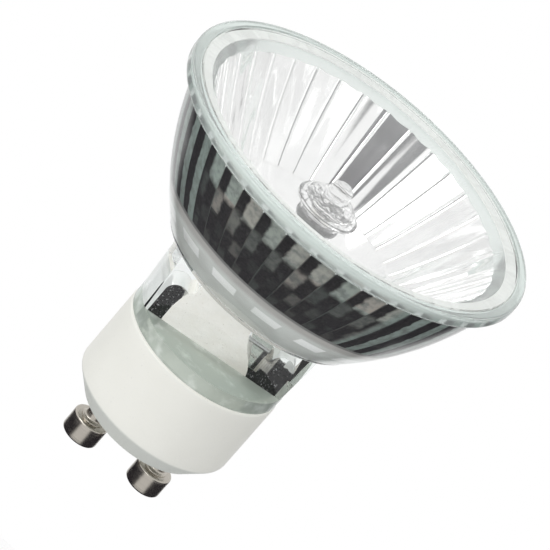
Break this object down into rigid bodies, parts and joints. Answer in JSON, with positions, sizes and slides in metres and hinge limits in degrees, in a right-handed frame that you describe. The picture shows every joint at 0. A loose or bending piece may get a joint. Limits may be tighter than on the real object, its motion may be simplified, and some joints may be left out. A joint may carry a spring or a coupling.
{
  "type": "reflector_lamp",
  "caption": "Twist-in reflector lamp: fluted glass mirror bowl with a flat cover glass and quartz capsule, a flattened glass neck, and a round ceramic base with headed contact pins.",
  "frame": {"origin": "centre of the ceramic base's flat bottom face", "axes": "+Z along the lamp's axis towards the front cover glass, +X along the line through the two contact pins, +Y completes the right-handed frame"},
  "size_m": [0.05, 0.05, 0.0526],
  "materials": {
    "pressed_glass": "gloss",
    "mirror": "gloss",
    "seal": "satin",
    "flat_glass": "gloss",
    "quartz": "gloss",
    "tungsten": "satin",
    "plug_cement": "matte",
    "bed_cement": "matte",
    "ceramic": "satin",
    "molybdenum": "satin",
    "lead_metal": "satin",
    "nickel_wire": "satin",
    "crimp_metal": "satin",
    "glass_fibre": "matte",
    "pin_metal": "satin",
    "washer_steel": "satin"
  },
  "bodies": {
    "root": {"reflector_glass": "pressed_glass", "mirror_coating": "mirror", "cover_seal": "seal", "cover_glass": "flat_glass", "capsule_envelope": "quartz", "filament": "tungsten", "cement_plug": "plug_cement", "base_cement": "bed_cement", "ceramic_base": "ceramic", "foil_left": "molybdenum", "support_left": "molybdenum", "capsule_lead_left": "lead_metal", "supply_lead_left": "nickel_wire", "crimp_left": "crimp_metal", "sleeve_left": "glass_fibre", "pin_left": "pin_metal", "washer_left": "washer_steel", "foil_right": "molybdenum", "support_right": "molybdenum", "capsule_lead_right": "lead_metal", "supply_lead_right": "nickel_wire", "crimp_right": "crimp_metal", "sleeve_right": "glass_fibre", "pin_right": "pin_metal", "washer_right": "washer_steel"}
  },
  "joints": []
}
